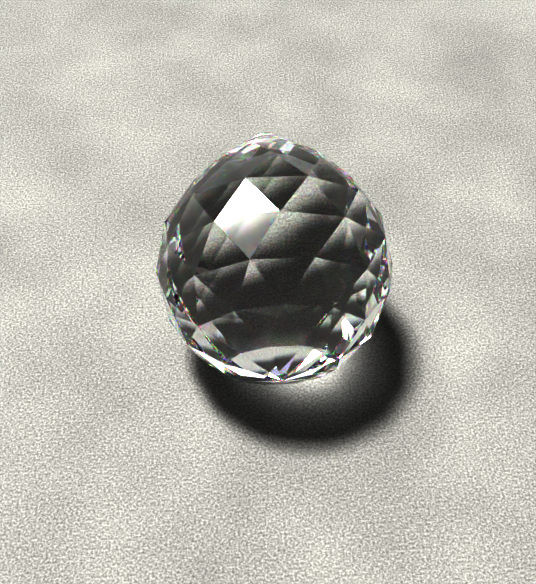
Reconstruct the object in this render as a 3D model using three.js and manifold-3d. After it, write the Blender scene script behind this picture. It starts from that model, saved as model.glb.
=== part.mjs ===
// A faceted crystal ball with a pierced peak, the kind that hangs in a window or under a chandelier.
// It is one solid piece of cut and polished glass. Millimetres, +Z up.
//
// The ball lies on one of its facets, as it does on a table. The origin is on that facet, below the
// ball's centre. The ball's own axis runs through its peak: it lies in the YZ plane and rises a little
// towards +Y, so the peak points along +Y. The part is symmetric about the YZ plane.

import * as THREE from 'three';
import { ConvexGeometry } from 'three/addons/geometries/ConvexGeometry.js';
import { mergeVertices } from 'three/addons/utils/BufferGeometryUtils.js';
import Module from 'manifold-3d';

// Driving dimensions
const BALL_DIAMETER = 40;
const CORNERS_PER_RING = 12;
const RING_SPACING = 20.5; // degrees of latitude from one ring of corners to the next
const RINGS_ABOVE_EQUATOR = 2;
const RINGS_BELOW_EQUATOR = 3;
const SHOULDER_RADIUS = 11.0; // ring of corners where the peak rises from the ball
const SHOULDER_HEIGHT = 18.1; // above the ball's centre, along its axis
const TIP_RADIUS = 2.1; // flat end of the peak
const TIP_HEIGHT = 25.6;
const HOLE_DIAMETER = 2.2; // drilled across the peak for a pin, ring or thread
const HOLE_HEIGHT = 22.6;
const HOLE_SIDES = 24;
const GLASS_COLOUR = 0xf2f6f4;

const BALL_RADIUS = BALL_DIAMETER / 2;
const CORNER_PITCH = (2 * Math.PI) / CORNERS_PER_RING;
const SPACING = THREE.MathUtils.degToRad(RING_SPACING);

// A ring of corners around the ball's axis, which is +Z here. Neighbouring rings are staggered by
// half a pitch, so the facets between them are triangles with one level edge.
function ring(radius, height, staggered) {
  const corners = [];
  const phase = staggered ? CORNER_PITCH / 2 : 0;
  for (let i = 0; i < CORNERS_PER_RING; i += 1) {
    const angle = phase + i * CORNER_PITCH;
    corners.push(new THREE.Vector3(radius * Math.cos(angle), radius * Math.sin(angle), height));
  }
  return corners;
}

// Ring number n of the ball, counted up from the equator. Its corners lie on the ball's sphere.
function ballRing(n) {
  const latitude = n * SPACING;
  return ring(BALL_RADIUS * Math.cos(latitude), BALL_RADIUS * Math.sin(latitude), n % 2 !== 0);
}

// The cut stone: every facet is a face of the convex body that the corners span.
function cutStone() {
  const corners = [new THREE.Vector3(0, 0, -BALL_RADIUS)];
  for (let n = -RINGS_BELOW_EQUATOR; n <= RINGS_ABOVE_EQUATOR; n += 1) {
    corners.push(...ballRing(n));
  }
  corners.push(...ring(SHOULDER_RADIUS, SHOULDER_HEIGHT, true));
  corners.push(...ring(TIP_RADIUS, TIP_HEIGHT, true));
  return new ConvexGeometry(corners);
}

// The drill that makes the hanging hole, straight across the peak from one side facet to the other.
function holeDrill() {
  const drill = new THREE.CylinderGeometry(
    HOLE_DIAMETER / 2, HOLE_DIAMETER / 2, BALL_DIAMETER, HOLE_SIDES,
  );
  drill.translate(0, 0, HOLE_HEIGHT);
  return drill;
}

const wasm = await Module();
wasm.setup();

function toSolid(geometry) {
  const bare = geometry.clone();
  bare.deleteAttribute('normal');
  bare.deleteAttribute('uv');
  const merged = mergeVertices(bare, 1e-5);
  return new wasm.Manifold(new wasm.Mesh({
    numProp: 3,
    vertProperties: new Float32Array(merged.attributes.position.array),
    triVerts: new Uint32Array(merged.index.array),
  }));
}

function toGeometry(solid) {
  const mesh = solid.getMesh();
  const geometry = new THREE.BufferGeometry();
  geometry.setAttribute('position', new THREE.BufferAttribute(mesh.vertProperties, 3));
  geometry.setIndex(new THREE.BufferAttribute(mesh.triVerts, 1));
  geometry.computeVertexNormals();
  return geometry;
}

// The resting facet has its level edge on the first ring below the equator and its third corner on
// the equator. Its normal points this far below the equator, and its plane is this far from the centre.
const REST_TILT = Math.atan((1 - Math.cos(SPACING) * Math.cos(CORNER_PITCH / 2)) / Math.sin(SPACING));
const REST_DISTANCE = BALL_RADIUS * Math.cos(REST_TILT);

const crystal = new THREE.MeshStandardMaterial({
  color: GLASS_COLOUR,
  roughness: 0.02,
  metalness: 0,
});

const ball = new THREE.Mesh(toGeometry(toSolid(cutStone()).subtract(toSolid(holeDrill()))), crystal);
ball.name = 'faceted_ball';

// The stone's axis, +Z as cut, is laid down towards +Y until the resting facet faces straight down.
// The facet that was cut over local -X becomes the lowest one.
const laid = new THREE.Group();
laid.add(ball);
const axisDirection = new THREE.Vector3(0, Math.cos(REST_TILT), Math.sin(REST_TILT));
const towardsTop = new THREE.Vector3(0, -Math.sin(REST_TILT), Math.cos(REST_TILT));
const sideways = new THREE.Vector3().crossVectors(axisDirection, towardsTop);
laid.quaternion.setFromRotationMatrix(
  new THREE.Matrix4().makeBasis(towardsTop, sideways, axisDirection),
);
laid.position.set(0, 0, REST_DISTANCE);

const part = new THREE.Group();
part.add(laid);

export default part;
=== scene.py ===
"""A clear faceted crystal ball with a pierced peak, lying on a pale surface in a bright room."""

import math

import bmesh
import bpy
from mathutils import Matrix, Quaternion, Vector


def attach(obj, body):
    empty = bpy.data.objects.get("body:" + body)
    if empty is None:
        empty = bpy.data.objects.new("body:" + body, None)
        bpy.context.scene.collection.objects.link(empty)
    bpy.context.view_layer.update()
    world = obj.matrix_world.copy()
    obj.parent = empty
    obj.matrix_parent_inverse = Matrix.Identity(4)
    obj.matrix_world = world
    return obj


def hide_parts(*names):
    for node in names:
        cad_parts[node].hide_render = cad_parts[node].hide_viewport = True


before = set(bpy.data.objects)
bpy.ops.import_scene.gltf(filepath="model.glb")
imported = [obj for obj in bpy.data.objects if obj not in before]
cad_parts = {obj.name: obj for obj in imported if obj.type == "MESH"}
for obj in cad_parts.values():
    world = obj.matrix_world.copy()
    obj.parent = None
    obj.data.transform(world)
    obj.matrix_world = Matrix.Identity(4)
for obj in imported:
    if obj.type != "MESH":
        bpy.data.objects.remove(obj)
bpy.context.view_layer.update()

NODE = "faceted_ball"
MM = 0.001

# The ball, as in the CAD model
BALL_RADIUS = 20 * MM
REST_TILT = math.radians(15.21)  # how far the ball's own axis rises from the floor
HOLE_RADIUS = 1.1 * MM
HOLE_HEIGHT = 22.6 * MM  # above the ball's centre, along its axis
BALL_CENTRE = Vector((0, 0, BALL_RADIUS * math.cos(REST_TILT)))
BALL_AXIS = Vector((0, math.cos(REST_TILT), math.sin(REST_TILT)))
HOLE_CENTRE = BALL_CENTRE + BALL_AXIS * HOLE_HEIGHT

# Finish that is too fine for the CAD model
ARRIS_WIDTH = 0.05 * MM  # the rounding that polishing leaves on every edge
ARRIS_SEGMENTS = 2
DRILL_SIDES = 48
DRILL_LENGTH = 2 * BALL_RADIUS
SAME_POINT = 0.001 * MM
SAME_PLANE = math.radians(0.2)  # triangles this close to flat are one facet

# The ball's material slots
FACET_SLOT, ARRIS_SLOT, WALL_SLOT = range(3)

# Crystal
CRYSTAL_IOR = 1.52
FIRE_IORS = (1.508, 1.520, 1.532)  # red, green and blue
FIRE_SHARE = 0.12  # how much of the light is split into those colours
SMUDGE_ROUGHNESS = 0.01
SMUDGE_SCALE = 90  # this and the other scales: features per metre
ARRIS_ROUGHNESS = 0.06
RUBBING_SCALE = 700
GROUND_ROUGHNESS = 0.35
GRIT_SCALE = 9000
GRIT_DEPTH = 0.02 * MM

# Camera, about the ball's centre
VIEW_AZIMUTH = math.radians(-5.4)
VIEW_ELEVATION = math.radians(49.4)
VIEW_ROLL = math.radians(2.0)
VIEW_DISTANCE = 8.07 * BALL_RADIUS
SENSOR_WIDTH = 36.0
FOCAL_LENGTH = 59.0
BALL_RIGHT = 0.0120  # the ball's centre from the picture's, in picture heights
BALL_UP = 0.0414

# Lights. Directions are as the camera sees them: x right, y away, z up. The key casts the shadow, and
# the two panes are mirrored in two facets as a white diamond. Half angles, in degrees, are how wide and
# how tall a softbox looks from the ball.
LIGHT_DISTANCE = 40.0  # far enough to light the whole floor evenly
KEY_DIRECTION = (-0.26, 0.16, 0.95)
KEY_HALF_ANGLES = (5, 5)
KEY_RADIANCE = 218
HIGH_PANE_DIRECTION = (-0.42, 0.38, 0.82)
LOW_PANE_DIRECTION = (-0.44, 0.04, 0.90)
HIGH_PANE_HALF_ANGLES = (4, 6)
LOW_PANE_HALF_ANGLES = (5, 9)
HIGH_PANE_RADIANCE = 26
LOW_PANE_RADIANCE = 8
WALL_LIGHT = 2.0  # along the horizon
ROOM_LIGHT = 0.23  # overhead
WALL_TOP = 0.45  # sine of the elevation where the pale walls end
GAMMA = 0.34  # of the film: gives the photograph's hard contrast
LIGHT_BOUNCES = 24  # enough for light to find its way out of the stone

# Floor
FLOOR_COLOUR = (0.30, 0.298, 0.286)
FLOOR_CONTRAST = 0.32
FLOOR_GRAIN_SCALE = 2600
FLOOR_MOTTLE_SCALE = 45
FLOOR_GRAIN_SHARE = 0.83  # the rest is mottling
FLOOR_ROUGHNESS = 0.8
FLOOR_HALF_SIZE = 3.0
FLOOR_GAP = 0.02 * MM  # keeps the floor's surface off the resting facet


# ---------------------------------------------------------------- shape

def new_object(name, data):
    made = bpy.data.objects.new(name, data)
    bpy.context.scene.collection.objects.link(made)
    return made


def object_from(bm, name):
    mesh = bpy.data.meshes.new(name)
    bm.to_mesh(mesh)
    bm.free()
    return new_object(name, mesh)


def make_stone():
    """The stone before it was drilled: the hull of the CAD ball's corners, each facet one whole face."""
    bm = bmesh.new()
    bm.from_mesh(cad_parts[NODE].data)
    bmesh.ops.remove_doubles(bm, verts=bm.verts, dist=SAME_POINT)
    hull = bmesh.ops.convex_hull(bm, input=bm.verts)
    spare = set(hull["geom_interior"]) | set(hull["geom_unused"])
    inner = [g for g in spare if isinstance(g, bmesh.types.BMVert)]
    bmesh.ops.delete(bm, geom=inner, context="VERTS")
    holes = [f for f in hull["geom_holes"] if isinstance(f, bmesh.types.BMFace) and f.is_valid]
    bmesh.ops.delete(bm, geom=holes, context="FACES_ONLY")
    bmesh.ops.dissolve_limit(bm, angle_limit=SAME_PLANE, verts=bm.verts, edges=bm.edges)
    bmesh.ops.recalc_face_normals(bm, faces=bm.faces)
    return object_from(bm, "crystal_ball")


def make_drill():
    """A cylinder through the peak, crosswise."""
    bm = bmesh.new()
    crosswise = Matrix.Translation(HOLE_CENTRE) @ Matrix.Rotation(math.pi / 2, 4, "Y")
    bmesh.ops.create_cone(
        bm, cap_ends=True, segments=DRILL_SIDES, radius1=HOLE_RADIUS, radius2=HOLE_RADIUS,
        depth=DRILL_LENGTH, matrix=crosswise,
    )
    bmesh.ops.recalc_face_normals(bm, faces=bm.faces)
    return object_from(bm, "drill")


def drill_hole(stone):
    drill = make_drill()
    cut = stone.modifiers.new("hole", "BOOLEAN")
    cut.operation = "DIFFERENCE"
    cut.solver = "EXACT"
    cut.object = drill
    graph = bpy.context.evaluated_depsgraph_get()
    drilled = bpy.data.meshes.new_from_object(stone.evaluated_get(graph))
    stone.modifiers.clear()
    stone.data = drilled
    bpy.data.objects.remove(drill)


def in_hole(face):
    """Whether a face is part of the hole's wall."""
    crosswise = Vector((1, 0, 0))
    out = face.calc_center_median() - HOLE_CENTRE
    return (out - crosswise * out.dot(crosswise)).length < HOLE_RADIUS and abs(face.normal.x) < 0.01


def finish_edges(stone):
    """Marks the wall of the hole, then rounds all edges but those along it."""
    bm = bmesh.new()
    bm.from_mesh(stone.data)
    wall = {f for f in bm.faces if in_hole(f)}
    for face in wall:
        face.material_index = WALL_SLOT
        face.smooth = True
    edges = [e for e in bm.edges if not wall.issuperset(e.link_faces)]
    bmesh.ops.bevel(
        bm, geom=edges, offset=ARRIS_WIDTH / 2, offset_type="WIDTH",
        segments=ARRIS_SEGMENTS, profile=0.5, affect="EDGES", clamp_overlap=True,
        material=ARRIS_SLOT,
    )
    bm.to_mesh(stone.data)
    bm.free()


# ---------------------------------------------------------------- materials


def node_material(name):
    material = bpy.data.materials.new(name)
    material.use_nodes = True
    material.node_tree.nodes.clear()
    return material, material.node_tree


def noise(tree, scale, detail=2.0, roughness=0.5):
    """Noise over the object's own coordinates, in features per metre."""
    where = tree.nodes.new("ShaderNodeTexCoord")
    made = tree.nodes.new("ShaderNodeTexNoise")
    made.inputs["Scale"].default_value = scale
    made.inputs["Detail"].default_value = detail
    made.inputs["Roughness"].default_value = roughness
    tree.links.new(where.outputs["Object"], made.inputs["Vector"])
    return made.outputs[0]


def remap(tree, value, start, end, low, high):
    """value from start..end to low..high, held at both ends."""
    made = tree.nodes.new("ShaderNodeMapRange")
    made.inputs["From Min"].default_value = start
    made.inputs["From Max"].default_value = end
    made.inputs["To Min"].default_value = low
    made.inputs["To Max"].default_value = high
    tree.links.new(value, made.inputs["Value"])
    return made.outputs[0]


def bump(tree, height, distance):
    made = tree.nodes.new("ShaderNodeBump")
    made.inputs["Distance"].default_value = distance
    tree.links.new(height, made.inputs["Height"])
    return made.outputs[0]


def clear_glass(tree, roughness, normal=None):
    """Colourless glass, with a share of its light split into red, green and blue."""
    plain = tree.nodes.new("ShaderNodeBsdfPrincipled")
    plain.inputs["Base Color"].default_value = (1, 1, 1, 1)
    plain.inputs["Transmission Weight"].default_value = 1
    plain.inputs["IOR"].default_value = CRYSTAL_IOR
    shaders = [plain]
    for channel, ior in enumerate(FIRE_IORS):
        split = tree.nodes.new("ShaderNodeBsdfGlass")
        split.inputs["Color"].default_value = tuple(float(i == channel) for i in range(3)) + (1,)
        split.inputs["IOR"].default_value = ior
        shaders.append(split)
    for shader in shaders:
        tree.links.new(roughness, shader.inputs["Roughness"])
        if normal:
            tree.links.new(normal, shader.inputs["Normal"])
    fire = shaders[1]
    for shader in shaders[2:]:
        both = tree.nodes.new("ShaderNodeAddShader")
        tree.links.new(fire.outputs[0], both.inputs[0])
        tree.links.new(shader.outputs[0], both.inputs[1])
        fire = both
    mix = tree.nodes.new("ShaderNodeMixShader")
    mix.inputs[0].default_value = FIRE_SHARE
    tree.links.new(plain.outputs[0], mix.inputs[1])
    tree.links.new(fire.outputs[0], mix.inputs[2])
    out = tree.nodes.new("ShaderNodeOutputMaterial")
    tree.links.new(mix.outputs[0], out.inputs["Surface"])


def facet_material():
    """Polished facets, clean but for a few faint smudges."""
    material, tree = node_material("clear_crystal")
    smudges = noise(tree, SMUDGE_SCALE, detail=3)
    clear_glass(tree, remap(tree, smudges, 0.60, 0.75, 0.0, SMUDGE_ROUGHNESS))
    return material


def arris_material():
    """Edges between facets, a little duller where they have rubbed."""
    material, tree = node_material("rubbed_arris")
    rubbing = noise(tree, RUBBING_SCALE, detail=3)
    clear_glass(tree, remap(tree, rubbing, 0.35, 0.65, 0.0, ARRIS_ROUGHNESS))
    return material


def wall_material():
    """The wall of the hole, left ground by the drill: frosted, with fine grit."""
    material, tree = node_material("ground_wall")
    grit = noise(tree, GRIT_SCALE, detail=3, roughness=0.7)
    frost = remap(tree, grit, 0.3, 0.7, 0.7 * GROUND_ROUGHNESS, 1.3 * GROUND_ROUGHNESS)
    clear_glass(tree, frost, bump(tree, grit, GRIT_DEPTH))
    return material


def floor_material():
    """Pale matt paper: fine grain over broad soft mottling."""
    material, tree = node_material("pale_floor")
    grain = noise(tree, FLOOR_GRAIN_SCALE, detail=3, roughness=0.7)
    mottle = noise(tree, FLOOR_MOTTLE_SCALE, detail=4)
    blend = tree.nodes.new("ShaderNodeMix")
    blend.data_type = "FLOAT"
    blend.inputs[0].default_value = FLOOR_GRAIN_SHARE
    tree.links.new(mottle, blend.inputs[2])
    tree.links.new(grain, blend.inputs[3])
    ramp = tree.nodes.new("ShaderNodeValToRGB")
    tree.links.new(blend.outputs[0], ramp.inputs[0])
    dark, light = ramp.color_ramp.elements
    dark.position = 0.36
    dark.color = tuple(c * (1 - FLOOR_CONTRAST) for c in FLOOR_COLOUR) + (1,)
    light.position = 0.64
    light.color = tuple(c * (1 + FLOOR_CONTRAST) for c in FLOOR_COLOUR) + (1,)
    shader = tree.nodes.new("ShaderNodeBsdfPrincipled")
    shader.inputs["Roughness"].default_value = FLOOR_ROUGHNESS
    tree.links.new(ramp.outputs[0], shader.inputs["Base Color"])
    out = tree.nodes.new("ShaderNodeOutputMaterial")
    tree.links.new(shader.outputs[0], out.inputs["Surface"])
    return material


# ---------------------------------------------------------------- pieces and stage

def make_ball():
    ball = make_stone()
    drill_hole(ball)
    ball.data.materials.clear()
    for material in (facet_material(), arris_material(), wall_material()):
        ball.data.materials.append(material)
    finish_edges(ball)
    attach(ball, "root")
    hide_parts(NODE)


def make_camera():
    data = bpy.data.cameras.new("camera")
    data.sensor_width = SENSOR_WIDTH
    data.lens = FOCAL_LENGTH
    data.clip_start = MM
    camera = new_object("camera", data)
    back = Vector((
        math.sin(VIEW_AZIMUTH) * math.cos(VIEW_ELEVATION),
        -math.cos(VIEW_AZIMUTH) * math.cos(VIEW_ELEVATION),
        math.sin(VIEW_ELEVATION),
    ))
    camera.location = BALL_CENTRE + back * VIEW_DISTANCE
    straight = (-back).to_track_quat("-Z", "Y")
    focal_in_heights = FOCAL_LENGTH / SENSOR_WIDTH
    pan = Quaternion((0, 1, 0), math.atan(BALL_RIGHT / focal_in_heights))
    tilt = Quaternion((1, 0, 0), -math.atan(BALL_UP / focal_in_heights))
    roll = Quaternion((0, 0, 1), VIEW_ROLL)
    camera.rotation_mode = "QUATERNION"
    camera.rotation_quaternion = straight @ roll @ pan @ tilt
    bpy.context.scene.camera = camera


def make_floor():
    bm = bmesh.new()
    bmesh.ops.create_grid(bm, x_segments=1, y_segments=1, size=FLOOR_HALF_SIZE)
    floor = object_from(bm, "floor")
    floor.location.z = -FLOOR_GAP
    floor.data.materials.append(floor_material())


def make_softbox(name, direction, half_angles, radiance):
    """A rectangular softbox that faces the ball, with half_angles for its width and its height."""
    turn = Matrix.Rotation(VIEW_AZIMUTH, 3, "Z")
    towards = turn @ Vector(direction).normalized()
    upright = turn @ Vector((0, 1, 0))
    upright = (upright - towards * upright.dot(towards)).normalized()
    data = bpy.data.lights.new(name, "AREA")
    data.shape = "RECTANGLE"
    data.size = 2 * LIGHT_DISTANCE * math.tan(math.radians(half_angles[0]))
    data.size_y = 2 * LIGHT_DISTANCE * math.tan(math.radians(half_angles[1]))
    data.energy = radiance * math.pi * data.size * data.size_y
    light = new_object(name, data)
    facing = Matrix((upright.cross(towards), upright, towards)).transposed().to_4x4()
    light.matrix_world = Matrix.Translation(BALL_CENTRE + towards * LIGHT_DISTANCE) @ facing


def make_world():
    """A room with pale walls: bright along the horizon, dimmer overhead."""
    world = bpy.data.worlds.new("room")
    world.use_nodes = True
    tree = world.node_tree
    where = tree.nodes.new("ShaderNodeTexCoord")
    split = tree.nodes.new("ShaderNodeSeparateXYZ")
    ramp = tree.nodes.new("ShaderNodeValToRGB")
    tree.links.new(where.outputs["Generated"], split.inputs[0])
    tree.links.new(split.outputs["Z"], ramp.inputs[0])
    tree.links.new(ramp.outputs[0], tree.nodes["Background"].inputs["Color"])
    walls, overhead = ramp.color_ramp.elements
    walls.position = 0.0
    walls.color = (WALL_LIGHT, WALL_LIGHT, WALL_LIGHT, 1)
    overhead.position = WALL_TOP
    overhead.color = (ROOM_LIGHT, ROOM_LIGHT, ROOM_LIGHT, 1)
    bpy.context.scene.world = world


def set_film():
    """Sets the contrast and the bounces."""
    scene = bpy.context.scene
    scene.view_settings.view_transform = "Standard"
    scene.view_settings.look = "None"
    scene.view_settings.gamma = GAMMA
    scene.cycles.max_bounces = LIGHT_BOUNCES
    scene.cycles.transmission_bounces = LIGHT_BOUNCES
    scene.cycles.glossy_bounces = LIGHT_BOUNCES


make_ball()
make_camera()
make_floor()
make_softbox("key", KEY_DIRECTION, KEY_HALF_ANGLES, KEY_RADIANCE)
make_softbox("high_pane", HIGH_PANE_DIRECTION, HIGH_PANE_HALF_ANGLES, HIGH_PANE_RADIANCE)
make_softbox("low_pane", LOW_PANE_DIRECTION, LOW_PANE_HALF_ANGLES, LOW_PANE_RADIANCE)
make_world()
set_film()
